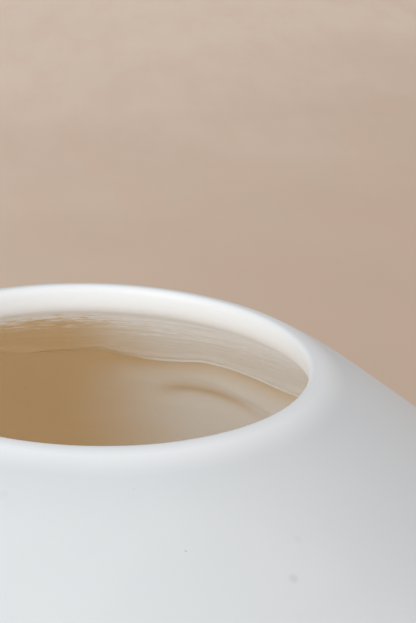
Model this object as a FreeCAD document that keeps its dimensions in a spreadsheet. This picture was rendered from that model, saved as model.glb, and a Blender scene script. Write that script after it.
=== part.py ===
import FreeCAD, Part
import Sketcher
import math
import os
from FreeCAD import Vector

# A white moon jar, made of the pieces that the potter lutes together: two thrown bowls set rim to rim,
# a coil thrown into a rolled lip, a turned foot ring, the slip and the coil of the joints, and the glaze.
# Lengths are in millimetres, angles in degrees and shares have no unit.
# The origin is the middle of the foot's resting face, the jar's axis is Z and up is +Z.

SIZES = {
    # the whole jar, over the glaze where the glaze covers it
    "jar_height": 236.0,
    "belly_radius": 132.0,
    "belly_height": 126.0,
    "mouth_radius": 54.0,
    "glaze_thickness": 0.4,
    # the walls of the bowls
    "mouth_wall": 6.8,
    "belly_wall": 7.0,
    "base_wall": 9.0,
    "floor_thickness": 10.0,
    # the rolled lip and the tongue of clay smeared down inside it
    "lip_outer_radius": 6.5,
    "lip_inner_radius": 1.0,
    "lip_face_height": 1.2,
    "lip_under_radius": 7.0,
    "lip_slope": 28.0,
    "underside_slope": 36.0,
    "smear_run": 23.5,
    "smear_edge": 0.6,
    # the shoulder below the lip
    "collar_run": 16.0,
    "shoulder_slope": 36.5,
    "shoulder_run": 24.0,
    "shoulder_fullness_share": 0.52,
    "upper_belly_fullness_share": 0.40,
    # the round belly
    "belly_round": 113.0,
    "belly_arc": 12.0,
    # the lower bowl's curve down to the foot
    "base_slope": 23.0,
    "lower_belly_fullness_share": 0.44,
    "base_fullness_share": 0.44,
    "floor_edge_radius": 54.0,
    "floor_corner_share": 0.80,
    "floor_flat_share": 0.55,
    # the keyed joint at the belly
    "slip_thickness": 0.8,
    "key_depth": 3.0,
    "key_width": 3.6,
    "coil_height": 16.0,
    "coil_bulge": 3.2,
    # the foot ring
    "foot_height": 9.0,
    "foot_top_radius": 46.5,
    "foot_taper": 1.0,
    "foot_top_wall": 10.5,
    "foot_bottom_wall": 8.5,
    "foot_bevel": 1.2,
    "bare_foot_height": 2.5,
}

doc = FreeCAD.newDocument("MoonJar")
sheet = doc.addObject("Spreadsheet::Sheet", "Sizes")
for row, (name, size) in enumerate(SIZES.items(), start=1):
    sheet.set(f"A{row}", name)
    sheet.set(f"B{row}", str(size))
    sheet.setAlias(f"B{row}", name)
doc.recompute()


class Amount:
    """A length, angle or share: its number now, and the formula that ties it to the sheet."""

    def __init__(self, number, formula):
        self.number = number
        self.formula = formula

    def __add__(self, other):
        other = amount(other)
        return Amount(self.number + other.number, f"({self.formula} + {other.formula})")

    def __sub__(self, other):
        other = amount(other)
        return Amount(self.number - other.number, f"({self.formula} - {other.formula})")

    def __mul__(self, other):
        other = amount(other)
        return Amount(self.number * other.number, f"({self.formula} * {other.formula})")

    def __truediv__(self, other):
        other = amount(other)
        return Amount(self.number / other.number, f"({self.formula} / {other.formula})")

    def __radd__(self, other):
        return amount(other) + self

    def __rsub__(self, other):
        return amount(other) - self

    def __rmul__(self, other):
        return amount(other) * self

    def __neg__(self):
        return amount(0) - self


def amount(value):
    return value if isinstance(value, Amount) else Amount(float(value), str(value))


def size_of(name):
    return Amount(SIZES[name], f"Sizes.{name}")


def sine(angle):
    return Amount(math.sin(math.radians(angle.number)), f"sin({angle.formula})")


def cosine(angle):
    return Amount(math.cos(math.radians(angle.number)), f"cos({angle.formula})")


def root(value):
    return Amount(math.sqrt(value.number), f"sqrt({value.formula})")


def tangent(angle):
    return sine(angle) / cosine(angle)


class Spot:
    """A point of the jar's section: its distance from the axis and its height."""

    def __init__(self, radius, height):
        self.radius = amount(radius)
        self.height = amount(height)

    def toward(self, angle, distance):
        """The spot at this distance in a direction. 0 is outward, 90 is up and -90 is down."""
        angle = amount(angle)
        return Spot(self.radius + distance * cosine(angle), self.height + distance * sine(angle))

    def vector(self):
        return Vector(self.radius.number, self.height.number, 0)


class TurnedPiece:
    """A body whose closed outline is drawn spot by spot in the XZ plane and turned about the jar's axis."""

    def __init__(self, name, start):
        self.body = doc.addObject("PartDesign::Body", name)
        self.body.Label = name
        self.sketch = self.body.newObject("Sketcher::SketchObject", f"{name}_outline")
        for plane in self.body.Origin.OriginFeatures:
            if plane.Role == "XZ_Plane":
                self.sketch.AttachmentSupport = (plane, [""])
        self.sketch.MapMode = "FlatFace"
        self.start = start
        self.here = start
        self.first_end = None
        self.last_end = None

    def tie(self, kind, geometry, point, value):
        """Hold one size of the outline to its formula."""
        if kind == "Radius":
            made = self.sketch.addConstraint(Sketcher.Constraint(kind, geometry, value.number))
        else:
            made = self.sketch.addConstraint(Sketcher.Constraint(kind, -1, 1, geometry, point, value.number))
        self.sketch.setExpression(f"Constraints[{made}]", value.formula)

    def hold(self, geometry, point, spot):
        """Hold a point of the outline to its spot, or to an axis where the spot lies on one."""
        if spot.radius.number == 0:
            self.sketch.addConstraint(Sketcher.Constraint("PointOnObject", geometry, point, -2))
        else:
            self.tie("DistanceX", geometry, point, spot.radius)
        if spot.height.number == 0:
            self.sketch.addConstraint(Sketcher.Constraint("PointOnObject", geometry, point, -1))
        else:
            self.tie("DistanceY", geometry, point, spot.height)

    def join(self, geometry, near_end, far_end, spot):
        """Add a stretch to the outline, from where the outline has come to as far as the spot."""
        self.hold(geometry, near_end, self.here)
        if self.last_end is None:
            self.first_end = (geometry, near_end)
        else:
            self.sketch.addConstraint(Sketcher.Constraint("Coincident", *self.last_end, geometry, near_end))
        self.last_end = (geometry, far_end)
        self.here = spot

    def line(self, *spots):
        for spot in spots:
            stretch = Part.LineSegment(self.here.vector(), spot.vector())
            self.join(self.sketch.addGeometry(stretch, False), 1, 2, spot)

    def arc(self, centre, radius, spot):
        """A round stretch of under half a turn."""
        middle = centre.vector()
        start_side = self.here.vector() - middle
        end_side = spot.vector() - middle
        anticlockwise = start_side.cross(end_side).z > 0
        if not anticlockwise:
            start_side, end_side = end_side, start_side
        circle = Part.Circle(middle, Vector(0, 0, 1), radius.number)
        first_angle = math.atan2(start_side.y, start_side.x)
        last_angle = math.atan2(end_side.y, end_side.x)
        geometry = self.sketch.addGeometry(Part.ArcOfCircle(circle, first_angle, last_angle), False)
        near_end, far_end = (1, 2) if anticlockwise else (2, 1)
        self.join(geometry, near_end, far_end, spot)
        self.tie("Radius", geometry, 0, radius)

    def curve(self, near_handle, far_handle, spot):
        """A stretch that leaves towards one handle and arrives from the other."""
        poles = [place.vector() for place in (self.here, near_handle, far_handle, spot)]
        spline = Part.BSplineCurve()
        spline.buildFromPolesMultsKnots(poles, [4, 4], [0, 1], False, 3)
        geometry = self.sketch.addGeometry(spline, False)
        self.sketch.exposeInternalGeometry(geometry)
        self.join(geometry, 1, 2, spot)
        # the handles are the middle two of the four pole circles, which follow the curve in the sketch
        self.hold(geometry + 2, 3, near_handle)
        self.hold(geometry + 3, 3, far_handle)

    def turn(self):
        """Close the outline and turn it once round."""
        self.line(self.start)
        self.sketch.addConstraint(Sketcher.Constraint("Coincident", *self.last_end, *self.first_end))
        turned = self.body.newObject("PartDesign::Revolution", f"{self.body.Name}_turned")
        turned.Profile = (self.sketch, [""])
        turned.ReferenceAxis = (self.sketch, ["V_Axis"])
        turned.Angle = 360
        self.sketch.Visibility = False
        return self.body


jar_height = size_of("jar_height")
belly_radius = size_of("belly_radius")
belly_height = size_of("belly_height")
mouth_radius = size_of("mouth_radius")
glaze_thickness = size_of("glaze_thickness")
mouth_wall = size_of("mouth_wall")
belly_wall = size_of("belly_wall")
lip_outer_radius = size_of("lip_outer_radius")
lip_inner_radius = size_of("lip_inner_radius")
lip_under_radius = size_of("lip_under_radius")
lip_slope = size_of("lip_slope")
shoulder_slope = size_of("shoulder_slope")
base_slope = size_of("base_slope")
slip_thickness = size_of("slip_thickness")
foot_height = size_of("foot_height")
foot_top_radius = size_of("foot_top_radius")
foot_bottom_radius = foot_top_radius - size_of("foot_taper")
foot_top_bore = foot_top_radius - size_of("foot_top_wall")
foot_bottom_bore = foot_bottom_radius - size_of("foot_bottom_wall")

# the clay stands one glaze below the finished lip and one glaze inside the finished belly
clay_top = jar_height - glaze_thickness
clay_radius = belly_radius - glaze_thickness
base_height = foot_height + slip_thickness
# the belly is round about these two middles, one for each bowl, with the slip between their rims
belly_round = size_of("belly_round")
belly_arc = size_of("belly_arc")
upper_middle = Spot(clay_radius - belly_round, belly_height + slip_thickness / 2)
lower_middle = Spot(clay_radius - belly_round, belly_height - slip_thickness / 2)


class Outside:
    """The spots of the jar's outside, from the mouth to the foot, this far above the clay."""

    def __init__(self, lift):
        lip_middle = Spot(mouth_radius, clay_top - lip_outer_radius)
        inner_middle = Spot(mouth_radius, clay_top - lip_inner_radius)
        self.lip_middle = lip_middle
        self.inner_middle = inner_middle
        self.outer_round = lip_outer_radius + lift
        self.inner_round = lip_inner_radius + lift
        self.under_round = lip_under_radius + lift
        # the inside of the lip, from the underside up
        face = mouth_radius - lip_inner_radius
        face_foot = clay_top - lip_inner_radius - size_of("lip_face_height")
        self.under_middle = Spot(face + lip_under_radius, face_foot)
        self.under = self.under_middle.toward(-90 - size_of("underside_slope"), self.under_round)
        self.face_foot = Spot(face - lift, face_foot)
        self.face_top = Spot(face - lift, inner_middle.height)
        self.crest = Spot(mouth_radius, clay_top + lift)
        # the lip's roll and the collar, which steepens from the lip's slope to the shoulder's
        collar_slope = (lip_slope + shoulder_slope) / 2
        collar_run = size_of("collar_run")
        collar_reach = collar_run / cosine(collar_slope) / 3
        roll_end = lip_middle.toward(90 - lip_slope, lip_outer_radius)
        joint = Spot(roll_end.radius + collar_run, roll_end.height - collar_run * tangent(collar_slope))
        up = 90 - shoulder_slope
        down = -shoulder_slope
        self.roll_end = roll_end.toward(90 - lip_slope, lift)
        self.collar_start = self.roll_end.toward(-lip_slope, collar_reach)
        self.lip_joint = joint.toward(up, lift)
        self.collar_end = self.lip_joint.toward(180 - shoulder_slope, collar_reach)
        self.bowl_joint = self.lip_joint.toward(down, slip_thickness)
        # the straight shoulder, and the curve from it to the belly
        self.shoulder = self.lip_joint.toward(down, size_of("shoulder_run"))
        self.belly_round = belly_round + lift
        self.belly_top = upper_middle.toward(belly_arc, self.belly_round)
        self.shoulder_handle, self.belly_top_handle = upper_handles(self.shoulder, self.belly_top)
        self.upper_rim = upper_middle.toward(0, self.belly_round)
        self.lower_rim = lower_middle.toward(0, self.belly_round)
        # the curve from the belly to the foot
        self.belly_bottom = lower_middle.toward(-belly_arc, self.belly_round)
        corner_drop = lift * (1 - sine(base_slope)) / cosine(base_slope)
        self.base = Spot(foot_top_radius + lift, base_height - corner_drop)
        self.belly_bottom_handle, self.base_handle = lower_handles(self.belly_bottom, self.base)


def upper_handles(shoulder, belly):
    """The handles of a curve from the straight shoulder to the round belly."""
    out = (belly.radius - shoulder.radius) * size_of("shoulder_fullness_share") / cosine(shoulder_slope)
    rise = (shoulder.height - belly.height) * size_of("upper_belly_fullness_share") / cosine(belly_arc)
    return shoulder.toward(-shoulder_slope, out), belly.toward(90 + belly_arc, rise)


def lower_handles(belly, base):
    """The handles of a curve from the round belly down to the sloping base."""
    drop = (belly.height - base.height) * size_of("lower_belly_fullness_share") / cosine(belly_arc)
    out = (belly.radius - base.radius) * size_of("base_fullness_share") / cosine(base_slope)
    return belly.toward(-90 - belly_arc, drop), base.toward(base_slope, out)


clay = Outside(amount(0))
glazed = Outside(glaze_thickness)

# the spots of the bowls' inside, each one wall in from the outside
into_wall = -90 - shoulder_slope
joint_inside = clay.lip_joint.toward(into_wall, mouth_wall)
bowl_joint_inside = clay.bowl_joint.toward(into_wall, mouth_wall)
smear_tip = joint_inside.toward(-shoulder_slope, size_of("smear_run"))
shoulder_inside = clay.shoulder.toward(into_wall, mouth_wall)
inner_round = belly_round - belly_wall
belly_top_inside = upper_middle.toward(belly_arc, inner_round)
upper_rim_inside = upper_middle.toward(0, inner_round)
lower_rim_inside = lower_middle.toward(0, inner_round)
belly_bottom_inside = lower_middle.toward(-belly_arc, inner_round)
floor_edge_radius = size_of("floor_edge_radius")
base_wall = size_of("base_wall")
outside_over_edge = base_height + (floor_edge_radius - foot_top_radius) * tangent(base_slope)
floor_edge = Spot(floor_edge_radius, outside_over_edge + base_wall / cosine(base_slope))
floor_middle = Spot(0, base_height + size_of("floor_thickness"))


def key_spots(rim_height):
    """The V of the keyed rims, from the outside in."""
    half_width = size_of("key_width") / 2
    middle = clay_radius - belly_wall / 2
    return [
        Spot(middle + half_width, rim_height),
        Spot(middle, rim_height - size_of("key_depth")),
        Spot(middle - half_width, rim_height),
    ]


def foot_wall_at(height):
    """The foot ring's outer wall leans, so its radius follows the height."""
    bevel = size_of("foot_bevel")
    lean = (foot_top_radius - foot_bottom_radius) / (foot_height - bevel)
    return foot_bottom_radius + (height - bevel) * lean


def make_foot_ring():
    bevel = size_of("foot_bevel")
    ring = TurnedPiece("foot_ring", Spot(foot_top_bore, foot_height))
    ring.line(Spot(foot_top_radius, foot_height))
    ring.line(Spot(foot_bottom_radius, bevel), Spot(foot_bottom_radius - bevel, 0))
    ring.line(Spot(foot_bottom_bore + bevel, 0), Spot(foot_bottom_bore, bevel))
    return ring.turn()


def make_foot_slip():
    slip = TurnedPiece("foot_slip", Spot(foot_top_bore, foot_height))
    slip.line(Spot(foot_top_radius, foot_height), Spot(foot_top_radius, base_height))
    slip.line(Spot(foot_top_bore, base_height))
    return slip.turn()


def make_lower_bowl():
    bowl = TurnedPiece("lower_bowl", clay.lower_rim)
    bowl.arc(lower_middle, clay.belly_round, clay.belly_bottom)
    bowl.curve(clay.belly_bottom_handle, clay.base_handle, clay.base)
    bowl.line(Spot(0, base_height), floor_middle)
    floor_drop = floor_edge.height - floor_middle.height
    corner_drop = floor_drop * size_of("floor_corner_share")
    corner = floor_edge.toward(180 + base_slope, corner_drop / sine(base_slope))
    flat = Spot(floor_edge_radius * size_of("floor_flat_share"), floor_middle.height)
    bowl.curve(flat, corner, floor_edge)
    upper_handle, lower_handle = lower_handles(belly_bottom_inside, floor_edge)
    bowl.curve(lower_handle, upper_handle, belly_bottom_inside)
    bowl.arc(lower_middle, inner_round, lower_rim_inside)
    bowl.line(*reversed(key_spots(clay.lower_rim.height)))
    return bowl.turn()


def make_belly_slip():
    slip = TurnedPiece("belly_slip", clay.upper_rim)
    slip.line(*key_spots(clay.upper_rim.height), upper_rim_inside)
    slip.line(lower_rim_inside, *reversed(key_spots(clay.lower_rim.height)), clay.lower_rim)
    return slip.turn()


def make_belly_coil():
    """The coil pressed over the seam inside: its back fits the wall and its face is round."""
    half_height = size_of("coil_height") / 2
    bulge = size_of("coil_bulge")
    above_rim = half_height - slip_thickness / 2
    edge_radius = upper_middle.radius + root(inner_round * inner_round - above_rim * above_rim)
    bottom = Spot(edge_radius, belly_height - half_height)
    top = Spot(edge_radius, belly_height + half_height)
    face_round = (half_height * half_height + bulge * bulge) / (2 * bulge)
    coil = TurnedPiece("belly_coil", upper_rim_inside)
    coil.arc(upper_middle, inner_round, top)
    coil.arc(Spot(edge_radius - bulge + face_round, belly_height), face_round, bottom)
    coil.arc(lower_middle, inner_round, lower_rim_inside)
    return coil.turn()


def make_upper_bowl():
    bowl = TurnedPiece("upper_bowl", clay.bowl_joint)
    bowl.line(clay.shoulder)
    bowl.curve(clay.shoulder_handle, clay.belly_top_handle, clay.belly_top)
    bowl.arc(upper_middle, clay.belly_round, clay.upper_rim)
    bowl.line(*key_spots(clay.upper_rim.height), upper_rim_inside)
    bowl.arc(upper_middle, inner_round, belly_top_inside)
    upper_handle, lower_handle = upper_handles(shoulder_inside, belly_top_inside)
    bowl.curve(lower_handle, upper_handle, shoulder_inside)
    bowl.line(bowl_joint_inside)
    return bowl.turn()


def make_mouth_slip():
    slip = TurnedPiece("mouth_slip", clay.lip_joint)
    slip.line(clay.bowl_joint, bowl_joint_inside, joint_inside)
    return slip.turn()


def make_mouth_lip():
    """The rolled lip. Its clay runs on inside, over the joint, to a thin smeared edge."""
    lip = TurnedPiece("mouth_lip", clay.under)
    lip.arc(clay.under_middle, clay.under_round, clay.face_foot)
    lip.line(clay.face_top)
    lip.arc(clay.inner_middle, clay.inner_round, clay.crest)
    lip.arc(clay.lip_middle, clay.outer_round, clay.roll_end)
    lip.curve(clay.collar_start, clay.collar_end, clay.lip_joint)
    lip.line(joint_inside, smear_tip, smear_tip.toward(into_wall, size_of("smear_edge")))
    return lip.turn()


def make_outer_glaze():
    """One coat, from just inside the mouth, over the lip and down to just above the resting face."""
    bare_height = size_of("bare_foot_height")
    foot_wall = foot_wall_at(bare_height)
    coat = TurnedPiece("outer_glaze", clay.under)
    coat.arc(clay.under_middle, clay.under_round, clay.face_foot)
    coat.line(clay.face_top)
    coat.arc(clay.inner_middle, clay.inner_round, clay.crest)
    coat.arc(clay.lip_middle, clay.outer_round, clay.roll_end)
    coat.curve(clay.collar_start, clay.collar_end, clay.lip_joint)
    coat.line(clay.shoulder)
    coat.curve(clay.shoulder_handle, clay.belly_top_handle, clay.belly_top)
    coat.arc(upper_middle, clay.belly_round, clay.upper_rim)
    coat.line(clay.lower_rim)
    coat.arc(lower_middle, clay.belly_round, clay.belly_bottom)
    coat.curve(clay.belly_bottom_handle, clay.base_handle, clay.base)
    coat.line(Spot(foot_top_radius, foot_height), Spot(foot_wall, bare_height))
    coat.line(Spot(foot_wall + glaze_thickness, bare_height))
    coat.line(Spot(foot_top_radius + glaze_thickness, foot_height), glazed.base)
    coat.curve(glazed.base_handle, glazed.belly_bottom_handle, glazed.belly_bottom)
    coat.arc(lower_middle, glazed.belly_round, glazed.lower_rim)
    coat.line(glazed.upper_rim)
    coat.arc(upper_middle, glazed.belly_round, glazed.belly_top)
    coat.curve(glazed.belly_top_handle, glazed.shoulder_handle, glazed.shoulder)
    coat.line(glazed.lip_joint)
    coat.curve(glazed.collar_end, glazed.collar_start, glazed.roll_end)
    coat.arc(glazed.lip_middle, glazed.outer_round, glazed.crest)
    coat.arc(glazed.inner_middle, glazed.inner_round, glazed.face_top)
    coat.line(glazed.face_foot)
    coat.arc(glazed.under_middle, glazed.under_round, glazed.under)
    return coat.turn()


pieces = [
    make_foot_ring(),
    make_foot_slip(),
    make_lower_bowl(),
    make_belly_slip(),
    make_belly_coil(),
    make_upper_bowl(),
    make_mouth_slip(),
    make_mouth_lip(),
    make_outer_glaze(),
]
doc.recompute()

for item in doc.Objects:
    if "Invalid" in item.State or "Error" in item.State:
        raise RuntimeError(f"{item.Label} did not build: {item.State}")
for piece in pieces:
    if piece.Shape.isNull() or not piece.Shape.isValid() or len(piece.Shape.Solids) != 1:
        raise RuntimeError(f"{piece.Label} is not one sound solid")

os.makedirs("parts", exist_ok=True)
for piece in pieces:
    piece.Shape.exportStep(f"parts/{piece.Label}.step")
    print(f"{piece.Label}: {piece.Shape.Volume / 1000:.1f} cm3")
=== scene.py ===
from math import atan2, cos, degrees, exp, pi, radians, sin, tan

import bmesh
import bpy
from mathutils import Matrix, Vector, noise
from mathutils.geometry import interpolate_bezier


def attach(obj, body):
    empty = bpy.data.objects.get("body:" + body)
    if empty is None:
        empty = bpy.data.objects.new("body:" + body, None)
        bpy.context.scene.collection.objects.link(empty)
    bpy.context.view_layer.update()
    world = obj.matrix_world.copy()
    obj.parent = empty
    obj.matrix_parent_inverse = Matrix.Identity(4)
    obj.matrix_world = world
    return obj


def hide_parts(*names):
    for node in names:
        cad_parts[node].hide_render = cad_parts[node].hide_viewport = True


# A white moon jar, luted from thrown pieces. Metres and degrees, Z is the jar's axis.

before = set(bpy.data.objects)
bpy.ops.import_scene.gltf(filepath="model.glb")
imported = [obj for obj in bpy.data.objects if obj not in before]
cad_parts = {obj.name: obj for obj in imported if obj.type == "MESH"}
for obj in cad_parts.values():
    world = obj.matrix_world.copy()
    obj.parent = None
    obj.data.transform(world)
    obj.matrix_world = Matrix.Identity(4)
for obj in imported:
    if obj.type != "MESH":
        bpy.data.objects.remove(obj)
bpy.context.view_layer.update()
print("frame loaded")

jar = {
    "height": 0.236,
    "bellyRadius": 0.132,
    "bellyHeight": 0.126,
    "mouthRadius": 0.054,
    "coat": 0.0004,
    "mouthWall": 0.0068,
    "bellyWall": 0.007,
    "baseWall": 0.009,
    "floorThickness": 0.010,
    "lipOuter": 0.0065,
    "lipInner": 0.0010,
    "lipFace": 0.0012,
    "lipUnder": 0.007,
    "lipSlope": 28,
    "undersideSlope": 36,
    "smearRun": 0.0235,
    "smearEdge": 0.0006,
    "collarRun": 0.016,
    "shoulderSlope": 36.5,
    "shoulderRun": 0.024,
    "shoulderFullness": 0.52,
    "upperFullness": 0.40,
    "bellyRound": 0.113,
    "bellyArc": 12,
    "baseSlope": 23,
    "lowerFullness": 0.44,
    "baseFullness": 0.44,
    "floorEdge": 0.054,
    "floorCorner": 0.80,
    "floorFlat": 0.55,
    "slip": 0.0008,
    "keyDepth": 0.003,
    "keyWidth": 0.0036,
    "coilHeight": 0.016,
    "coilBulge": 0.0032,
    "footHeight": 0.009,
    "footTop": 0.0465,
    "footTaper": 0.001,
    "footTopWall": 0.0105,
    "footBottomWall": 0.0085,
    "footBevel": 0.0012,
    "bareFoot": 0.0025,
}


def sinD(angle):
    return sin(radians(angle))


def cosD(angle):
    return cos(radians(angle))


def tanD(angle):
    return tan(radians(angle))


def smooth(low, high, value):
    share = min(max((value - low) / (high - low), 0), 1)
    return share * share * (3 - 2 * share)


def hill(offset, width):
    # 1 on the spot, fading to nothing about two widths away
    return exp(-(offset / width) ** 2)


def spot(radius, height):
    return Vector((radius, 0, height))


def toward(place, angle, distance):
    # 0 is outward and 90 is up
    return place + spot(cosD(angle), sinD(angle)) * distance


clayTop = jar["height"] - jar["coat"]
footBottom = jar["footTop"] - jar["footTaper"]
clayRadius = jar["bellyRadius"] - jar["coat"]
baseHeight = jar["footHeight"] + jar["slip"]
upperMiddle = spot(clayRadius - jar["bellyRound"], jar["bellyHeight"] + jar["slip"] / 2)
lowerMiddle = spot(clayRadius - jar["bellyRound"], jar["bellyHeight"] - jar["slip"] / 2)


def upperHandles(shoulder, belly):
    out = (belly.x - shoulder.x) * jar["shoulderFullness"] / cosD(jar["shoulderSlope"])
    rise = (shoulder.z - belly.z) * jar["upperFullness"] / cosD(jar["bellyArc"])
    return toward(shoulder, -jar["shoulderSlope"], out), toward(belly, 90 + jar["bellyArc"], rise)


def lowerHandles(belly, base):
    drop = (belly.z - base.z) * jar["lowerFullness"] / cosD(jar["bellyArc"])
    out = (belly.x - base.x) * jar["baseFullness"] / cosD(jar["baseSlope"])
    return toward(belly, -90 - jar["bellyArc"], drop), toward(base, jar["baseSlope"], out)


class Outside:
    # the spots of the jar's outside, this far above the clay
    def __init__(self, lift):
        slope = jar["shoulderSlope"]
        self.lipMiddle = spot(jar["mouthRadius"], clayTop - jar["lipOuter"])
        self.innerMiddle = spot(jar["mouthRadius"], clayTop - jar["lipInner"])
        face = jar["mouthRadius"] - jar["lipInner"]
        faceFoot = clayTop - jar["lipInner"] - jar["lipFace"]
        self.underMiddle = spot(face + jar["lipUnder"], faceFoot)
        self.under = toward(self.underMiddle, -90 - jar["undersideSlope"], jar["lipUnder"] + lift)
        self.faceFoot = spot(face - lift, faceFoot)
        self.faceTop = spot(face - lift, self.innerMiddle.z)
        self.crest = spot(jar["mouthRadius"], clayTop + lift)
        collarSlope = (jar["lipSlope"] + slope) / 2
        collarReach = jar["collarRun"] / cosD(collarSlope) / 3
        rollEnd = toward(self.lipMiddle, 90 - jar["lipSlope"], jar["lipOuter"])
        joint = rollEnd + spot(jar["collarRun"], -jar["collarRun"] * tanD(collarSlope))
        self.rollEnd = toward(rollEnd, 90 - jar["lipSlope"], lift)
        self.collarStart = toward(self.rollEnd, -jar["lipSlope"], collarReach)
        self.lipJoint = toward(joint, 90 - slope, lift)
        self.collarEnd = toward(self.lipJoint, 180 - slope, collarReach)
        self.bowlJoint = toward(self.lipJoint, -slope, jar["slip"])
        self.shoulder = toward(self.lipJoint, -slope, jar["shoulderRun"])
        self.bellyTop = toward(upperMiddle, jar["bellyArc"], jar["bellyRound"] + lift)
        self.shoulderHandle, self.bellyTopHandle = upperHandles(self.shoulder, self.bellyTop)
        self.upperRim = toward(upperMiddle, 0, jar["bellyRound"] + lift)
        self.lowerRim = toward(lowerMiddle, 0, jar["bellyRound"] + lift)
        self.bellyBottom = toward(lowerMiddle, -jar["bellyArc"], jar["bellyRound"] + lift)
        cornerDrop = lift * (1 - sinD(jar["baseSlope"])) / cosD(jar["baseSlope"])
        self.base = spot(jar["footTop"] + lift, baseHeight - cornerDrop)
        self.bellyBottomHandle, self.baseHandle = lowerHandles(self.bellyBottom, self.base)


clay = Outside(0)
coated = Outside(jar["coat"])

intoWall = -90 - jar["shoulderSlope"]
jointInside = toward(clay.lipJoint, intoWall, jar["mouthWall"])
bowlJointInside = toward(clay.bowlJoint, intoWall, jar["mouthWall"])
smearTip = toward(jointInside, -jar["shoulderSlope"], jar["smearRun"])
smearFoot = toward(smearTip, intoWall, jar["smearEdge"])
shoulderInside = toward(clay.shoulder, intoWall, jar["mouthWall"])
innerRound = jar["bellyRound"] - jar["bellyWall"]
bellyTopInside = toward(upperMiddle, jar["bellyArc"], innerRound)
upperRimInside = toward(upperMiddle, 0, innerRound)
lowerRimInside = toward(lowerMiddle, 0, innerRound)
bellyBottomInside = toward(lowerMiddle, -jar["bellyArc"], innerRound)
overEdge = baseHeight + (jar["floorEdge"] - jar["footTop"]) * tanD(jar["baseSlope"])
floorEdge = spot(jar["floorEdge"], overEdge + jar["baseWall"] / cosD(jar["baseSlope"]))
floorMiddle = spot(0, baseHeight + jar["floorThickness"])

# the lip's underside runs straight from the lip to the smeared edge
undersideWay = (smearFoot - clay.under).normalized()
undersideLength = (smearFoot - clay.under).length
undersideOut = Vector((undersideWay.z, 0, -undersideWay.x))


def keySpots(rimHeight):
    middle = clayRadius - jar["bellyWall"] / 2
    half = jar["keyWidth"] / 2
    bottom = spot(middle, rimHeight - jar["keyDepth"])
    return [spot(middle + half, rimHeight), bottom, spot(middle - half, rimHeight)]


class Section:
    # a closed outline in the XZ plane. The skin is what shows and gets relief, measured along its run
    def __init__(self, start):
        self.spots = [start]
        self.runs = [-1]
        self.run = 0

    def add(self, places, skin):
        for place in places:
            self.run += (place - self.spots[-1]).length if skin else 0
            self.spots.append(place)
            self.runs.append(self.run if skin else -1)

    def line(self, end, rows=1, skin=False):
        start = self.spots[-1]
        self.add([start.lerp(end, row / rows) for row in range(1, rows + 1)], skin)

    def arc(self, middle, end, rows, skin=False):
        start = self.spots[-1] - middle
        side = end - middle
        turn = atan2(start.z, start.x) - atan2(side.z, side.x)
        turn = (turn + pi) % (2 * pi) - pi
        turned = [Matrix.Rotation(turn * row / rows, 3, "Y") @ start for row in range(1, rows + 1)]
        self.add([middle + place for place in turned], skin)

    def curve(self, leave, arrive, end, rows, skin=False):
        self.add(interpolate_bezier(self.spots[-1], leave, arrive, end, rows + 1)[1:], skin)

    def turned(self, steps):
        bm = bmesh.new()
        run = bm.verts.layers.float.new("run")
        verts = []
        for place, length in zip(self.spots, self.runs):
            vert = bm.verts.new(place)
            vert[run] = length
            verts.append(vert)
        edges = [bm.edges.new(pair) for pair in zip(verts, verts[1:] + verts[:1])]
        bmesh.ops.spin(bm, geom=verts + edges, cent=(0, 0, 0), axis=(0, 0, 1), angle=radians(360),
                       steps=steps, use_merge=True, use_duplicate=False)
        bmesh.ops.remove_doubles(bm, verts=bm.verts, dist=0.000001)
        bmesh.ops.recalc_face_normals(bm, faces=bm.faces)
        return bm


def flatSpot(place):
    # the vertex turned back into the XZ plane
    return spot(place.xy.length, place.z)


def turnOf(place):
    return degrees(atan2(place.y, place.x))


def ringNoise(place, turns, run, pitch):
    # noise with no seam: turns is how often it changes on the way round, pitch its length down the wall
    way = place.xy.normalized() * turns
    return noise.noise(Vector((way.x, way.y, run / pitch)))


def carve(bm, heightAt):
    # raise the skin by heightAt, or sink it where that is negative
    run = bm.verts.layers.float["run"]
    bm.normal_update()
    skin = [vert for vert in bm.verts if vert[run] >= 0]
    moves = [vert.normal * heightAt(vert.co, vert[run]) for vert in skin]
    for vert, move in zip(skin, moves):
        vert.co += move


sharpAngle = 50


def finishPiece(bm, name, material, slotName, *nodes):
    mesh = bpy.data.meshes.new(name)
    bm.to_mesh(mesh)
    bm.free()
    mesh.shade_smooth()
    mesh.set_sharp_from_angle(angle=radians(sharpAngle))
    mesh.materials.append(material)
    piece = bpy.data.objects.new(name, mesh)
    bpy.context.scene.collection.objects.link(piece)
    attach(piece, "root")
    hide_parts(*nodes)
    print(f"{name}: {len(mesh.polygons)} faces")


# the white wash and the brush marks on the underside of the lip, shared by the coat and the clay
underside = {
    "brushTurns": 3.2,
    "brushPitch": 0.0019,
    "fineBrushTurns": 7.0,
    "fineBrushPitch": 0.0009,
    "wander": 0.0030,
    "wanderTurns": 2.1,
    "wanderPitch": 0.02,
    "brushHeight": 0.00011,
    "fineBrushHeight": 0.00005,
    "brushStart": 0.003,
    "pastEdge": 0.001,
    # the wash reaches furthest at its lobes, and its edge and its thin part are shares of that reach
    "washReach": 0.0205,
    "washSpread": 0.0095,
    "washLobes": 3,
    "washLobeTurn": 40,
    "washEnd": 1.3,
    "thinFrom": 0.5,
    "thinEnd": 2.6,
    "washThin": 0.22,
    "washStreak": 0.45,
    "fineStreak": 0.5,
    "thinStreak": 2,
}


def brushMarks(place, depth):
    # the broad marks and the fine ones
    brush = underside
    along = depth + brush["wander"] * ringNoise(place, brush["wanderTurns"], depth, brush["wanderPitch"])
    broad = ringNoise(place, brush["brushTurns"], along, brush["brushPitch"])
    return broad, ringNoise(place, brush["fineBrushTurns"], along, brush["fineBrushPitch"])


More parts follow.
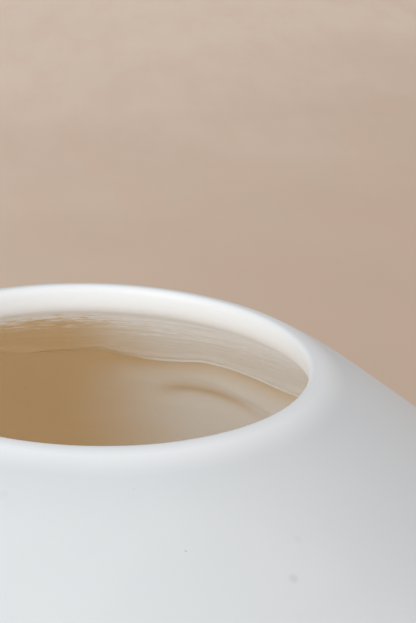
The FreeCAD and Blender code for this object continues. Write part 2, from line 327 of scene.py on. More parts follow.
def undersideDepth(place):
    return (flatSpot(place) - clay.under).dot(undersideWay)


def brushRelief(place, depth):
    broad, fine = brushMarks(place, depth)
    marks = underside["brushHeight"] * broad + underside["fineBrushHeight"] * fine
    return marks * smooth(0, underside["brushStart"], depth)


def onUnderside(place):
    apart = (flatSpot(place) - clay.under).dot(undersideOut)
    near = abs(apart) < jar["lipUnder"] / 2
    return near and undersideDepth(place) < undersideLength + underside["pastEdge"]


def washAt(place):
    # 1 is white coat and 0 is bare clay
    if not onUnderside(place):
        return 1
    depth = undersideDepth(place)
    lobe = cosD(underside["washLobes"] * (turnOf(place) - underside["washLobeTurn"]))
    reach = underside["washReach"] + underside["washSpread"] * lobe
    broad, fine = brushMarks(place, depth)
    streak = underside["washStreak"] * reach * (broad + underside["fineStreak"] * fine)
    full = 1 - smooth(0, underside["washEnd"] * reach, depth + streak)
    thinDepth = depth + underside["thinStreak"] * streak
    thin = 1 - smooth(underside["thinFrom"] * reach, underside["thinEnd"] * reach, thinDepth)
    return full + underside["washThin"] * (thin - full * thin)


def thickCoatAndLightAt(place):
    # 1 where the coat is painted whitest, on the lip and inside it: partly a thicker coat and partly painted
    # light, with painted shade where it greys down the body and deep under the lip
    if onUnderside(place):
        return 1 - smooth(coatLook["underWhiteAndShadeFrom"], coatLook["underWhiteAndShadeTo"], undersideDepth(place))
    return 1 - smooth(0, coatLook["litLipWhiteWide"], place.xy.length - jar["mouthRadius"])


def paintWash(bm):
    wash = bm.verts.layers.float.new("wash")
    full = bm.verts.layers.float.new("full")
    for vert in bm.verts:
        vert[wash] = washAt(vert.co)
        vert[full] = thickCoatAndLightAt(vert.co)


class Number:
    # an output socket, with arithmetic
    def __init__(self, paint, socket):
        self.paint = paint
        self.socket = socket

    def math(self, operation, first, second):
        return self.paint.node("ShaderNodeMath", {"operation": operation}, {0: first, 1: second})

    def __add__(self, other):
        return self.math("ADD", self, other)

    def __sub__(self, other):
        return self.math("SUBTRACT", self, other)

    def __mul__(self, other):
        return self.math("MULTIPLY", self, other)

    def __truediv__(self, other):
        return self.math("DIVIDE", self, other)

    def __radd__(self, other):
        return self.math("ADD", other, self)

    def __rsub__(self, other):
        return self.math("SUBTRACT", other, self)

    def __rmul__(self, other):
        return self.math("MULTIPLY", other, self)


class Paint:
    # a material or a world, whose nodes are all made by one method
    def __init__(self, holder):
        self.holder = holder
        holder.use_nodes = True
        self.tree = holder.node_tree

    def node(self, kind, settings, inputs, output=0):
        made = self.tree.nodes.new(kind)
        for name, setting in settings.items():
            setattr(made, name, setting)
        for name, value in inputs.items():
            self.feed(made.inputs[name], value)
        return Number(self, made.outputs[output])

    def feed(self, socket, value):
        if isinstance(value, Number):
            self.tree.links.new(value.socket, socket)
        else:
            socket.default_value = value

    def place(self):
        return self.node("ShaderNodeTexCoord", {}, {}, "Object")

    def noise(self, scale, detail=2.0, roughness=0.5, where=None):
        inputs = {"Vector": where or self.place(), "Scale": scale, "Detail": detail, "Roughness": roughness}
        return self.node("ShaderNodeTexNoise", {}, inputs, "Fac")

    def attribute(self, name):
        return self.node("ShaderNodeAttribute", {"attribute_name": name}, {}, "Fac")

    def vector(self, operation, first, second=(0, 0, 0), output="Vector"):
        return self.node("ShaderNodeVectorMath", {"operation": operation}, {0: first, 1: second}, output)

    def stretched(self, scales):
        return self.vector("MULTIPLY", self.place(), scales)

    def streaks(self, turns, pitch):
        # noise drawn out round the jar, as a brush leaves it
        way = self.vector("NORMALIZE", self.stretched((1, 1, 0)))
        way = self.vector("MULTIPLY", way, (turns, turns, 0))
        where = self.vector("ADD", way, self.stretched((0, 0, 1 / pitch)))
        return self.noise(1.0, detail=3, roughness=0.6, where=where)

    def ramp(self, value, low, high):
        # 0 at low, 1 at high and smooth between
        inputs = {"Value": value, "From Min": low, "From Max": high}
        return self.node("ShaderNodeMapRange", {"interpolation_type": "SMOOTHSTEP"}, inputs)

    def mix(self, share, first, second):
        return self.node("ShaderNodeMix", {"data_type": "RGBA"}, {0: share, 6: first, 7: second}, 2)

    def bump(self, height, distance):
        inputs = {"Height": height, "Distance": distance, "Strength": 1.0}
        return self.node("ShaderNodeBump", {}, inputs, "Normal")

    def seen(self):
        # 1 for what the camera sees, straight or by a reflection
        camera = self.node("ShaderNodeLightPath", {}, {}, "Is Camera Ray")
        glossy = self.node("ShaderNodeLightPath", {}, {}, "Is Glossy Ray")
        through = self.node("ShaderNodeLightPath", {}, {}, "Is Transmission Ray")
        return camera + glossy + through

    def finish(self, **sockets):
        shader = self.tree.nodes["Principled BSDF"]
        for name, value in sockets.items():
            self.feed(shader.inputs[name.replace("_", " ")], value)


def tint(red, green, blue):
    # a linear colour from the share of light that each channel gives back
    return (red, green, blue, 1)


coatLook = {
    # the lip painted whiter and the body greyer: partly a thicker coat at the mouth, partly painted light on
    # the lip and painted shade below it
    "litLipWhite": tint(0.85, 0.86, 0.863),
    "shadedBodyWhite": tint(0.640, 0.655, 0.660),
    "litLipWhiteWide": 0.009,
    "underWhiteAndShadeFrom": 0.014,
    "underWhiteAndShadeTo": 0.045,
    "cloud": 0.4,
    "cloudScale": 22,
    "speck": tint(0.50, 0.49, 0.47),
    "speckStrength": 0.22,
    "speckCell": 0.011,
    "speckRadius": 0.00022,
    "speckShare": 0.70,
    # soft grey spots of ash: turn, distance from the axis, height, radius, share
    "ash": tint(0.36, 0.36, 0.36),
    "ashSpots": (
        (-56, 0.0795, 0.2205, 0.0010, 0.10),
        (-60, 0.0860, 0.2155, 0.0012, 0.24),
        (-106, 0.0670, 0.2290, 0.0011, 0.08),
    ),
    "ashCore": 0.3,
    "ashEdge": 1.3,
    # the pinholes are near the mouth
    "pitStrength": 0.35,
    "pitCell": 0.0052,
    "pitRadius": 0.00022,
    "pitShare": 0.72,
    "pitDepth": 0.0003,
    "pitsFrom": 0.215,
    "pitsFull": 0.228,
    "roughness": 0.46,
    "toothScale": 1400,
    "tooth": 0.000012,
    # the brush's streaks break the wash where it thins
    "streakTurns": 15,
    "streakPitch": 0.0008,
    "streakBreak": 11.0,
    "streakHeight": 0.00022,
    "streakFloor": 0.05,
}

clayLook = {
    "pale": tint(0.775, 0.75, 0.70),
    # the tan of the painted shade, also the colour of the stain in the hollows
    "tanShadeAndStain": tint(0.64, 0.46, 0.25),
    # the painted shade faces its turn, and fades near the axis so that the floor has no seam: the clay is
    # painted tan on the side of the inside that lies in shade
    "tanShadeTurn": 150,
    "tanShadeFrom": 0.17,
    "tanShadeFull": 0.49,
    "tanShadeCloud": 0.20,
    "tanShadeFade": 0.02,
    "stainAndShade": 0.8,
    "cloudScale": 18,
    "grain": tint(0.62, 0.52, 0.38),
    "grainScale": 900,
    "grainFrom": 0.55,
    "grainFull": 0.8,
    "grainStrength": 0.15,
    "iron": tint(0.25, 0.18, 0.12),
    "ironStrength": 0.7,
    "ironCell": 0.009,
    "ironRadius": 0.00018,
    "ironShare": 0.6,
    "roughness": 0.82,
    "tooth": 0.00004,
}

slipLook = {"color": tint(0.58, 0.49, 0.36), "roughness": 0.85}


dotSoftness = {"edge": 0.5, "share": 0.01}


def dots(paint, cell, radius, share):
    # 1 on small round dots, with none in this share of the cells
    inputs = {"Vector": paint.place(), "Scale": 1 / cell}
    distance = paint.node("ShaderNodeTexVoronoi", {}, inputs, "Distance")
    color = paint.node("ShaderNodeTexVoronoi", {}, inputs, "Color")
    pick = paint.node("ShaderNodeSeparateColor", {}, {"Color": color}, "Red")
    edge = dotSoftness["edge"]
    near = 1 - paint.ramp(distance, (1 - edge) * radius / cell, (1 + edge) * radius / cell)
    return near * paint.ramp(pick, share - dotSoftness["share"], share + dotSoftness["share"])


def claySurface(paint):
    # painted shade: the clay is pale where the light falls and painted tan on the other side, where the
    # inside is in shade
    look = clayLook
    cloud = paint.noise(look["cloudScale"], detail=3)
    grain = paint.noise(look["grainScale"])
    way = (cosD(look["tanShadeTurn"]), sinD(look["tanShadeTurn"]), 0)
    out = paint.stretched((1, 1, 0))
    radius = paint.vector("LENGTH", out, output="Value")
    across = paint.vector("DOT_PRODUCT", out, way, "Value") / (radius + look["tanShadeFade"])
    across = across + (cloud - 0.5) * look["tanShadeCloud"]
    tanShade = paint.ramp(across, look["tanShadeFrom"], look["tanShadeFull"])
    # the painted shade and the brown stain of the hollows push the colour further to tan
    tanShade = tanShade + paint.attribute("stainAndShade") * look["stainAndShade"]
    color = paint.mix(tanShade, look["pale"], look["tanShadeAndStain"])
    grains = paint.ramp(grain, look["grainFrom"], look["grainFull"])
    color = paint.mix(grains * look["grainStrength"], color, look["grain"])
    iron = dots(paint, look["ironCell"], look["ironRadius"], look["ironShare"])
    return paint.mix(iron * look["ironStrength"], color, look["iron"]), grain


def clayPaint(name):
    paint = Paint(bpy.data.materials.new(name))
    color, grain = claySurface(paint)
    normal = paint.bump(grain, clayLook["tooth"])
    paint.finish(Base_Color=color, Roughness=clayLook["roughness"], Normal=normal)
    return paint.holder


def coatPaint(name):
    # the white coat, which thins to bare clay where the wash runs out
    look = coatLook
    paint = Paint(bpy.data.materials.new(name))
    clayColor, grain = claySurface(paint)
    cloud = paint.noise(look["cloudScale"], detail=3)
    # full is the lip's whiter coat and painted light, against the grey of the body's painted shade
    full = paint.attribute("full") + (cloud - 0.5) * look["cloud"]
    white = paint.mix(full, look["shadedBodyWhite"], look["litLipWhite"])
    specks = dots(paint, look["speckCell"], look["speckRadius"], look["speckShare"])
    white = paint.mix(specks * look["speckStrength"], white, look["speck"])
    height = paint.node("ShaderNodeSeparateXYZ", {}, {"Vector": paint.place()}, "Z")
    pits = dots(paint, look["pitCell"], look["pitRadius"], look["pitShare"])
    pits = pits * paint.ramp(height, look["pitsFrom"], look["pitsFull"])
    white = paint.mix(pits * look["pitStrength"], white, look["speck"])
    for turn, out, up, radius, share in look["ashSpots"]:
        middle = (out * cosD(turn), out * sinD(turn), up)
        apart = paint.vector("DISTANCE", paint.place(), middle, "Value")
        ash = 1 - paint.ramp(apart, look["ashCore"] * radius, look["ashEdge"] * radius)
        white = paint.mix(ash * share, white, look["ash"])
    streaks = paint.streaks(look["streakTurns"], look["streakPitch"])
    wash = paint.attribute("wash")
    bare = 1 - wash
    wash = paint.ramp(wash + (streaks - 0.5) * wash * bare * look["streakBreak"], 0, 1)
    tooth = paint.noise(look["toothScale"]) * look["tooth"] + grain * bare * clayLook["tooth"]
    tooth = tooth + streaks * (bare + look["streakFloor"]) * look["streakHeight"]
    paint.finish(
        Base_Color=paint.mix(wash, clayColor, white),
        Roughness=clayLook["roughness"] + wash * (look["roughness"] - clayLook["roughness"]),
        Normal=paint.bump(tooth - pits * look["pitDepth"], 1.0),
    )
    return paint.holder


def slipPaint(name):
    paint = Paint(bpy.data.materials.new(name))
    paint.finish(Base_Color=slipLook["color"], Roughness=slipLook["roughness"])
    return paint.holder


bareClay = clayPaint("bareStoneware")
footClay = clayPaint("bareFoot")
whiteCoat = coatPaint("whiteCoat")
washedClay = coatPaint("washedStoneware")
firedSlip = slipPaint("firedSlip")
print("materials ready")


coatPiece = {
    "steps": 320,
    "tail": 0.005,
    "tailSink": 0.00004,
    "undulation": 0.00016,
    "undulationTurns": 2.6,
    "undulationPitch": 0.034,
    "undulationHeights": (0.010, 0.030),
}


def coatRelief(place, run):
    if onUnderside(place):
        return brushRelief(place, undersideDepth(place))
    soft = ringNoise(place, coatPiece["undulationTurns"], place.z, coatPiece["undulationPitch"])
    faded = smooth(*coatPiece["undulationHeights"], place.z)
    return -coatPiece["undulation"] * (0.5 + 0.5 * soft) * faded


def makeCoat():
    tail = clay.under + undersideWay * coatPiece["tail"]
    section = Section(tail - undersideOut * coatPiece["tailSink"])
    section.line(coated.under, 12, True)
    section.arc(coated.underMiddle, coated.faceFoot, 6, True)
    section.line(coated.faceTop, 3, True)
    section.arc(coated.innerMiddle, coated.crest, 10, True)
    section.arc(coated.lipMiddle, coated.rollEnd, 5, True)
    section.curve(coated.collarStart, coated.collarEnd, coated.lipJoint, 10, True)
    section.line(coated.shoulder, 12, True)
    section.curve(coated.shoulderHandle, coated.bellyTopHandle, coated.bellyTop, 36, True)
    section.arc(upperMiddle, coated.upperRim, 8, True)
    section.line(coated.lowerRim, 1, True)
    section.arc(lowerMiddle, coated.bellyBottom, 8, True)
    section.curve(coated.bellyBottomHandle, coated.baseHandle, coated.base, 50, True)
    lean = jar["footTaper"] / (jar["footHeight"] - jar["footBevel"])
    bareWall = spot(footBottom + (jar["bareFoot"] - jar["footBevel"]) * lean, jar["bareFoot"])
    section.line(spot(jar["footTop"] + jar["coat"], jar["footHeight"]))
    section.line(bareWall + spot(jar["coat"], 0))
    section.line(bareWall)
    section.line(spot(jar["footTop"], jar["footHeight"]))
    section.line(clay.base)
    section.curve(clay.baseHandle, clay.bellyBottomHandle, clay.bellyBottom, 24)
    section.arc(lowerMiddle, clay.lowerRim, 4)
    section.line(clay.upperRim)
    section.arc(upperMiddle, clay.bellyTop, 4)
    section.curve(clay.bellyTopHandle, clay.shoulderHandle, clay.shoulder, 16)
    section.line(clay.lipJoint)
    section.curve(clay.collarEnd, clay.collarStart, clay.rollEnd, 5)
    section.arc(clay.lipMiddle, clay.crest, 4)
    section.arc(clay.innerMiddle, clay.faceTop, 5)
    section.line(clay.faceFoot)
    section.arc(clay.underMiddle, clay.under, 4)
    bm = section.turned(coatPiece["steps"])
    paintWash(bm)
    carve(bm, coatRelief)
    finishPiece(bm, "glazeCoat", whiteCoat, "white_coat", "outer_glaze")


lipPiece = {
    "steps": 360,
    "edgeRun": 0.005,
    # where the smeared edge runs further or less far: turn, half its width, length
    "edgeReaches": (
        (79, 5.5, 0.0039), (88.8, 2.6, -0.0032), (73, 3.5, 0.0010), (52, 11, 0.0118), (110, 5, -0.0030),
        (140, 16, 0.0040), (185, 20, -0.0020), (230, 18, 0.0050), (275, 16, -0.0020), (320, 20, 0.0060),
        (10, 14, -0.0020),
    ),
    "raggedWave": 0.0009,
    "raggedTurns": 12,
    "slideFrom": 0.014,
    "slideWithin": 0.0012,
    "feather": 0.0007,
    "featherLength": 0.0060,
    "edgeRoll": 0.0006,
    "edgeRollBack": 0.0035,
    "edgeRollWidth": 0.0026,
    "edgeRollUneven": 0.6,
    "edgeRollTurns": 5,
    "brushEnd": 0.003,
    # pushes of the thumb: turn, half its width, way back from the edge, height
    "pushes": ((104, 4.5, 0.0035, 0.0009), (66, 1.8, 0.0070, 0.0006)),
    "pushWidth": 0.0022,
    "lastGap": 0.01,
}

bowlRows = 90
bowlHandles = upperHandles(shoulderInside, bellyTopInside)
bowlCurve = interpolate_bezier(shoulderInside, *bowlHandles, bellyTopInside, bowlRows)


def intoHollow(step):
    return Vector((step.z, 0, -step.x)).normalized()


# the way of the underside, and then on down the bowl, one smear thick above its wall
smearWay = [clay.under, smearFoot]
for near, far in zip(bowlCurve[1:], bowlCurve[2:]):
    smearWay.append(near + intoHollow(far - near) * jar["smearEdge"])


def alongSmear(distance):
    for near, far in zip(smearWay, smearWay[1:]):
        step = far - near
        if distance <= step.length:
            break
        distance -= step.length
    return near + step.normalized() * distance, intoHollow(step)


def turnApart(turn, other):
    return (turn - other + 180) % 360 - 180


def edgeRun(place):
    # how far the smeared edge runs on down the bowl
    turn = turnOf(place)
    run = lipPiece["edgeRun"]
    for middle, halfTurn, length in lipPiece["edgeReaches"]:
        run += length * hill(turnApart(turn, middle), halfTurn)
    return run + lipPiece["raggedWave"] * ringNoise(place, lipPiece["raggedTurns"], 0, 1)


def slideSmear(bm):
    run = bm.verts.layers.float["run"]
    for vert in bm.verts:
        flat = flatSpot(vert.co)
        depth = undersideDepth(vert.co)
        apart = (flat - clay.under).dot(undersideOut)
        if depth < 0 or abs(apart) > lipPiece["slideWithin"]:
            continue
        depth += edgeRun(vert.co) * smooth(lipPiece["slideFrom"], undersideLength, depth)
        middle, side = alongSmear(depth)
        flat = middle + side * apart
        way = vert.co.xy.normalized() * flat.x
        vert.co = Vector((way.x, way.y, flat.z))
        if vert[run] >= 0:
            vert[run] = depth


def lipRelief(place, depth):
    piece = lipPiece
    turn = turnOf(place)
    back = undersideLength + edgeRun(place) - depth
    roll = piece["edgeRoll"] * hill(back - piece["edgeRollBack"], piece["edgeRollWidth"])
    roll *= 1 + piece["edgeRollUneven"] * ringNoise(place, piece["edgeRollTurns"], 0, 1)
    for middle, halfTurn, wayBack, height in piece["pushes"]:
        roll += height * hill(turnApart(turn, middle), halfTurn) * hill(back - wayBack, piece["pushWidth"])
    feather = piece["feather"] * smooth(piece["featherLength"], 0, back)
    return brushRelief(place, depth) * smooth(0, piece["brushEnd"], back) + roll - feather


def makeLip():
    section = Section(clay.under)
    section.arc(clay.underMiddle, clay.faceFoot, 4)
    section.line(clay.faceTop)
    section.arc(clay.innerMiddle, clay.crest, 6)
    section.arc(clay.lipMiddle, clay.rollEnd, 4)
    section.curve(clay.collarStart, clay.collarEnd, clay.lipJoint, 6)
    section.line(jointInside)
    section.line(smearTip, 12)
    section.line(smearFoot)
    # the outline closes itself over the last gap
    section.line(clay.under.lerp(smearFoot, lipPiece["lastGap"]), 150, True)
    bm = section.turned(lipPiece["steps"])
    paintWash(bm)
    slideSmear(bm)
    carve(bm, lipRelief)
    finishPiece(bm, "rolledLip", washedClay, "bare_stoneware", "mouth_lip")


upperPiece = {
    "steps": 320,
    "ringPitch": 0.0095,
    "ringHeight": 0.00010,
    "ringRuns": (0.030, 0.045),
    "unevenTurns": 2.4,
    "unevenPitch": 0.022,
    "uneven": 0.00040,
    "unevenRuns": (0.012, 0.030),
    # the ridge bows down on both sides of its turn. A pair of turns is from nothing to full
    "ridgeTurn": 73.2,
    "ridgeTop": 0.1932,
    "ridgeFall": 0.0000557,
    "ridgeWidth": 0.0030,
    "ridgeTurns": (81, 75),
    "ridgeEnd": (48, 56),
    "grooveBelow": 0.0104,
    "grooveWidth": 0.0034,
    "grooveEnd": (59, 67),
    "shadedBandBelow": 0.0072,
    "shadedBandEnd": (61, 69),
    "channelTop": 0.1970,
    "channelDrop": 0.0065,
    "channelDropTurns": (69, 58),
    "channelWidth": 0.0032,
    "channelTurns": (88, 78),
    "channelEnd": (44, 52),
    # the hollow below the smeared edge, whose plain end is this far down the bowl's wall
    "smearEdgeRun": 0.0227,
    "underEdge": 0.0045,
    "underEdgeWidth": 0.0065,
    "heights": {"ridge": 0.0011, "groove": -0.0014, "channel": -0.0012, "underEdge": -0.0010},
    # each mark's share of the painted shade and stain in the hollows
    "stainAndShades": {"shadedBand": 0.85, "channel": 0.5, "underEdge": 0.4},
}

fingers = {"wander": 0.25, "wanderTurns": 1.6, "wanderPitch": 0.05}


def throwingRings(place, run, piece):
    # one spiral groove left by the fingers
    wander = fingers["wander"] * ringNoise(place, fingers["wanderTurns"], run, fingers["wanderPitch"])
    phase = run / piece["ringPitch"] + turnOf(place) / 360 + wander
    return piece["ringHeight"] * sin(2 * pi * phase)


def fingerMarks(place, run):
    # how much of each mark is at a place, from 0 to 1
    piece = upperPiece
    turn = turnOf(place)
    started = smooth(*piece["ridgeTurns"], turn)
    fromRidge = place.z - piece["ridgeTop"] + piece["ridgeFall"] * (turn - piece["ridgeTurn"]) ** 2
    ridge = hill(fromRidge, piece["ridgeWidth"]) * smooth(*piece["ridgeEnd"], turn)
    groove = hill(fromRidge + piece["grooveBelow"], piece["grooveWidth"]) * smooth(*piece["grooveEnd"], turn)
    # the band below the ridge only darkens the colour: painted shade
    shadedBand = hill(fromRidge + piece["shadedBandBelow"], piece["grooveWidth"]) * smooth(*piece["shadedBandEnd"], turn)
    # the channel is between the smeared edge and the ridge
    channelZ = piece["channelTop"] - piece["channelDrop"] * smooth(*piece["channelDropTurns"], turn)
    channel = hill(place.z - channelZ, piece["channelWidth"])
    channel *= smooth(*piece["channelTurns"], turn) * smooth(*piece["channelEnd"], turn)
    below = run - piece["smearEdgeRun"] - edgeRun(place)
    underEdge = hill(below - piece["underEdge"], piece["underEdgeWidth"])
    marks = {"ridge": ridge * started, "groove": groove * started, "shadedBand": shadedBand * started}
    return marks | {"channel": channel, "underEdge": underEdge}


def upperRelief(place, run):
    piece = upperPiece
    rings = throwingRings(place, run, piece) * smooth(*piece["ringRuns"], run)
    uneven = piece["uneven"] * ringNoise(place, piece["unevenTurns"], run, piece["unevenPitch"])
    uneven *= smooth(*piece["unevenRuns"], run)
    marks = fingerMarks(place, run)
    return rings + uneven + sum(height * marks[name] for name, height in piece["heights"].items())


def stainAndShadeHollows(bm):
    # painted shade: the hollows are painted darker and browner, partly a brown stain of the clay
    run = bm.verts.layers.float["run"]
    stainAndShade = bm.verts.layers.float.new("stainAndShade")
    for vert in bm.verts:
        if vert[run] >= 0:
            marks = fingerMarks(vert.co, vert[run])
            vert[stainAndShade] = min(1, sum(share * marks[name] for name, share in upperPiece["stainAndShades"].items()))


def makeUpperBowl():
    section = Section(clay.upperRim)
    section.arc(upperMiddle, clay.bellyTop, 4)
    section.curve(clay.bellyTopHandle, clay.shoulderHandle, clay.shoulder, 16)
    section.line(clay.bowlJoint)
    section.line(bowlJointInside)
    section.line(shoulderInside, 10, True)
    section.curve(*bowlHandles, bellyTopInside, bowlRows, True)
    section.arc(upperMiddle, upperRimInside, 12, True)
    for place in reversed(keySpots(clay.upperRim.z)):
        section.line(place)
    bm = section.turned(upperPiece["steps"])
    stainAndShadeHollows(bm)
    carve(bm, upperRelief)
    finishPiece(bm, "upperBowl", bareClay, "bare_stoneware", "upper_bowl")


lowerPiece = {
    "steps": 256,
    "ringPitch": 0.0115,
    "ringHeight": 0.00035,
    "unevenTurns": 2.0,
    "unevenPitch": 0.03,
    "uneven": 0.0004,
    # the marks fade toward the rim, along the run, and toward the middle of the floor
    "rimRun": 0.012,
    "ringRadius": 0.012,
    "unevenRadius": 0.02,
    "button": 0.0012,
    "buttonRadius": 0.009,
}


def lowerRelief(place, run):
    piece = lowerPiece
    radius = place.xy.length
    rings = throwingRings(place, run, piece) * smooth(0, piece["ringRadius"], radius)
    uneven = piece["uneven"] * ringNoise(place, piece["unevenTurns"], run, piece["unevenPitch"])
    uneven *= smooth(0, piece["unevenRadius"], radius)
    button = piece["button"] * hill(radius, piece["buttonRadius"])
    return (rings + uneven) * smooth(0, piece["rimRun"], run) + button


def makeLowerBowl():
    section = Section(clay.base)
    section.curve(clay.baseHandle, clay.bellyBottomHandle, clay.bellyBottom, 24)
    section.arc(lowerMiddle, clay.lowerRim, 4)
    for place in keySpots(clay.lowerRim.z):
        section.line(place)
    section.line(lowerRimInside)
    section.arc(lowerMiddle, bellyBottomInside, 10, True)
    section.curve(*lowerHandles(bellyBottomInside, floorEdge), floorEdge, 70, True)
    cornerDrop = (floorEdge.z - floorMiddle.z) * jar["floorCorner"]
    corner = toward(floorEdge, 180 + jar["baseSlope"], cornerDrop / sinD(jar["baseSlope"]))
    flat = spot(jar["floorEdge"] * jar["floorFlat"], floorMiddle.z)
    section.curve(corner, flat, floorMiddle, 36, True)
    section.line(spot(0, baseHeight))
    section.line(clay.base, 6)
    bm = section.turned(lowerPiece["steps"])
    carve(bm, lowerRelief)
    finishPiece(bm, "lowerBowl", bareClay, "bare_stoneware", "lower_bowl")


coilPiece = {
    "steps": 280,
    "press": 0.0006,
    "presses": 31,
    "drift": 3.2,
    "driftTurns": 3,
    "uneven": 0.0005,
    "unevenTurns": 6,
    "unevenPitch": 0.012,
}


def coilRelief(place, run):
    # the coil keeps the marks of the finger that pressed it home
    piece = coilPiece
    drift = piece["drift"] * ringNoise(place, piece["driftTurns"], 0, 1)
    press = piece["press"] * sin(radians(turnOf(place)) * piece["presses"] + drift)
    uneven = piece["uneven"] * ringNoise(place, piece["unevenTurns"], place.z, piece["unevenPitch"])
    return press - piece["press"] + uneven


def makeCoil():
    half = jar["coilHeight"] / 2
    aboveRim = half - jar["slip"] / 2
    edgeRadius = upperMiddle.x + (innerRound ** 2 - aboveRim ** 2) ** 0.5
    top = spot(edgeRadius, jar["bellyHeight"] + half)
    bottom = spot(edgeRadius, jar["bellyHeight"] - half)
    faceRound = (half ** 2 + jar["coilBulge"] ** 2) / (2 * jar["coilBulge"])
    faceMiddle = spot(edgeRadius - jar["coilBulge"] + faceRound, jar["bellyHeight"])
    section = Section(upperRimInside)
    section.arc(upperMiddle, top, 4)
    section.arc(faceMiddle, bottom, 24, True)
    section.arc(lowerMiddle, lowerRimInside, 4)
    bm = section.turned(coilPiece["steps"])
    carve(bm, coilRelief)
    finishPiece(bm, "seamCoil", bareClay, "bare_stoneware", "belly_coil")


footPiece = {
    "steps": 256,
    "trimTurns": 0.8,
    "trimPitch": 0.0011,
    "trimHeight": 0.00005,
    "trimSink": 0.6,
    "lastGap": 0.02,
}


def footRelief(place, run):
    # fine lines from the turning tool
    lines = ringNoise(place, footPiece["trimTurns"], place.z + place.xy.length, footPiece["trimPitch"])
    return footPiece["trimHeight"] * (lines - footPiece["trimSink"])


def makeFoot():
    bevel = jar["footBevel"]
    topBore = spot(jar["footTop"] - jar["footTopWall"], jar["footHeight"])
    bottomBore = spot(footBottom - jar["footBottomWall"], bevel)
    section = Section(topBore)
    section.line(spot(jar["footTop"], jar["footHeight"]))
    section.line(spot(footBottom, bevel), 10, True)
    section.line(spot(footBottom - bevel, 0), 4, True)
    section.line(bottomBore - spot(-bevel, bevel), 10)
    section.line(bottomBore, 4, True)
    section.line(topBore.lerp(bottomBore, footPiece["lastGap"]), 10, True)
    bm = section.turned(footPiece["steps"])
    carve(bm, footRelief)
    finishPiece(bm, "footRing", footClay, "bare_foot", "foot_ring")


makeCoat()
makeLip()
makeUpperBowl()
makeLowerBowl()
makeCoil()
makeFoot()
for name in ("foot_slip", "belly_slip", "mouth_slip"):
    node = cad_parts[name]
    node.data.materials.clear()
    node.data.materials.append(firedSlip)
print("pieces ready")


studio = {
    "floorSize": 30.0,
    "floorShade": tint(0.605, 0.45, 0.335),
    "floorLit": tint(0.86, 0.70, 0.56),
    "floorWay": (-1, 1, 0),
    "floorShadeAt": 0.3,
    "floorLitAt": 2.0,
    "floorCloud": 0.5,
    "floorCloudScale": 5.0,
    "floorPink": tint(0.70, 0.44, 0.34),
    "floorPinkStrength": 0.16,
    "floorMottle": (24, 6, 1),
    "mottleFrom": 0.35,
    "mottleFull": 0.7,
    "floorRoughness": 0.9,
    "floorGlow": 0.12,
    "worldLight": tint(0.985, 1.0, 1.04),
    "worldStrength": 0.56,
    "seenWorld": tint(0.60, 0.50, 0.42),
}

# turn is from +X, rise above the floor, and bright is the light given to a surface that faces the lamp
lamps = {
    "windowKey": {
        "turn": 233, "rise": 8, "away": 1.6, "width": 1.4, "height": 1.0,
        "bright": 0.94, "color": (0.96, 1.0, 1.01),
    },
    "sideFill": {
        "turn": 330, "rise": 12, "away": 1.6, "width": 1.2, "height": 1.2,
        "bright": 0.34, "color": (0.99, 1.0, 1.01),
    },
}

hollowFill = {"height": 0.125, "radius": 0.045, "bright": 0.165, "color": (1.0, 0.99, 1.0)}


def makeFloor():
    bm = bmesh.new()
    bmesh.ops.create_grid(bm, x_segments=1, y_segments=1, size=studio["floorSize"] / 2)
    mesh = bpy.data.meshes.new("studioFloor")
    bm.to_mesh(mesh)
    bm.free()
    paint = Paint(bpy.data.materials.new("floorCard"))
    # painted light falloff: the card is painted darker near the jar, on its right, and lighter away toward
    # the back left
    away = paint.vector("DOT_PRODUCT", paint.place(), studio["floorWay"], "Value")
    away = away + (paint.noise(studio["floorCloudScale"], detail=4) - 0.5) * studio["floorCloud"]
    far = paint.ramp(away, studio["floorShadeAt"], studio["floorLitAt"])
    color = paint.mix(far, studio["floorShade"], studio["floorLit"])
    mottle = paint.noise(1.0, detail=4, roughness=0.6, where=paint.stretched(studio["floorMottle"]))
    mottle = paint.ramp(mottle, studio["mottleFrom"], studio["mottleFull"])
    color = paint.mix(mottle * studio["floorPinkStrength"], color, studio["floorPink"])
    # painted glow: the card glows for what the camera sees, so it is seen a little brighter than the light
    # that it sends to the jar
    paint.finish(
        Base_Color=color,
        Roughness=studio["floorRoughness"],
        Emission_Color=paint.mix(paint.seen(), tint(0, 0, 0), color),
        Emission_Strength=studio["floorGlow"],
    )
    mesh.materials.append(paint.holder)
    floor = bpy.data.objects.new("studioFloor", mesh)
    bpy.context.scene.collection.objects.link(floor)


def makeWorld():
    world = bpy.data.worlds.new("studioWorld")
    bpy.context.scene.world = world
    paint = Paint(world)
    light = {"Color": studio["worldLight"], "Strength": studio["worldStrength"]}
    lit = paint.node("ShaderNodeBackground", {}, light)
    shown = paint.node("ShaderNodeBackground", {}, {"Color": studio["seenWorld"]})
    mixed = paint.node("ShaderNodeMixShader", {}, {0: paint.seen(), 1: lit, 2: shown})
    paint.feed(paint.tree.nodes["World Output"].inputs["Surface"], mixed)


def aimedFrom(turn, rise, distance, target):
    way = Vector((cosD(turn) * cosD(rise), sinD(turn) * cosD(rise), sinD(rise)))
    return Matrix.Translation(target + way * distance) @ way.to_track_quat("Z", "Y").to_matrix().to_4x4()


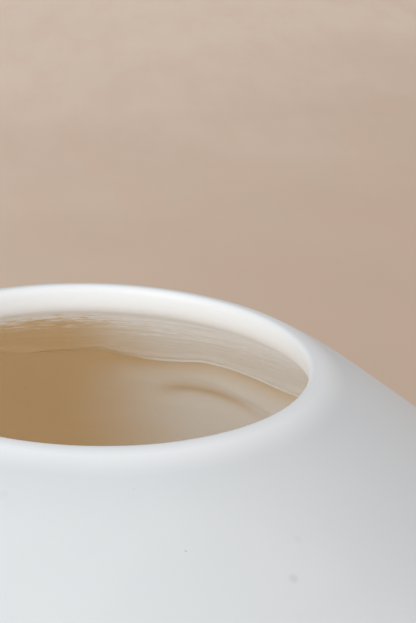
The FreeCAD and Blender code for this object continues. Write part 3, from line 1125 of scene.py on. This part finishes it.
def makeLamp(name, kind, power, color, matrix):
    lamp = bpy.data.lights.new(name, kind)
    lamp.energy = power
    lamp.color = color
    holder = bpy.data.objects.new(name, lamp)
    holder.matrix_world = matrix
    bpy.context.scene.collection.objects.link(holder)
    return lamp


def makeLamps():
    target = spot(0, jar["height"])
    for name, look in lamps.items():
        power = look["bright"] * pi ** 2 * look["away"] ** 2
        matrix = aimedFrom(look["turn"], look["rise"], look["away"], target)
        lamp = makeLamp(name, "AREA", power, look["color"], matrix)
        lamp.shape = "RECTANGLE"
        lamp.size = look["width"]
        lamp.size_y = look["height"]
    # the light that the pale walls hand on inside the jar, past the few bounces that a render follows
    power = hollowFill["bright"] * 4 * pi ** 2 * jar["bellyRadius"] ** 2
    place = Matrix.Translation(spot(0, hollowFill["height"]))
    inside = makeLamp("hollowFill", "POINT", power, hollowFill["color"], place)
    inside.shadow_soft_size = hollowFill["radius"]


makeFloor()
makeWorld()
makeLamps()
print("studio ready")


photo = {
    "height": 623,  # pixels
    "focal": 1800,  # pixels
    "distance": 0.44113,  # from the middle of the mouth
    "rise": 21.21,  # the mouth seen from this far above its plane
    "yaw": 3.8,
    "pitch": 19.68,
    "roll": 2.64,
    "sensor": 36,
}


def makeCamera():
    lens = bpy.data.cameras.new("photoCamera")
    lens.sensor_fit = "VERTICAL"
    lens.sensor_height = photo["sensor"]
    lens.lens = photo["focal"] / photo["height"] * photo["sensor"]
    lens.clip_start = 0.01
    camera = bpy.data.objects.new("photoCamera", lens)
    bpy.context.scene.collection.objects.link(camera)
    mouth = Vector((0, 0, jar["height"]))
    back = Vector((0, -cosD(photo["rise"]), sinD(photo["rise"])))
    camera.matrix_world = (
        Matrix.Translation(mouth + back * photo["distance"])
        @ Matrix.Rotation(radians(-photo["yaw"]), 4, "Z")
        @ Matrix.Rotation(radians(90 - photo["pitch"]), 4, "X")
        @ Matrix.Rotation(radians(photo["roll"]), 4, "Z")
    )
    bpy.context.scene.camera = camera


makeCamera()
bpy.context.scene.view_settings.view_transform = "Standard"
bpy.context.view_layer.update()
print("camera ready")
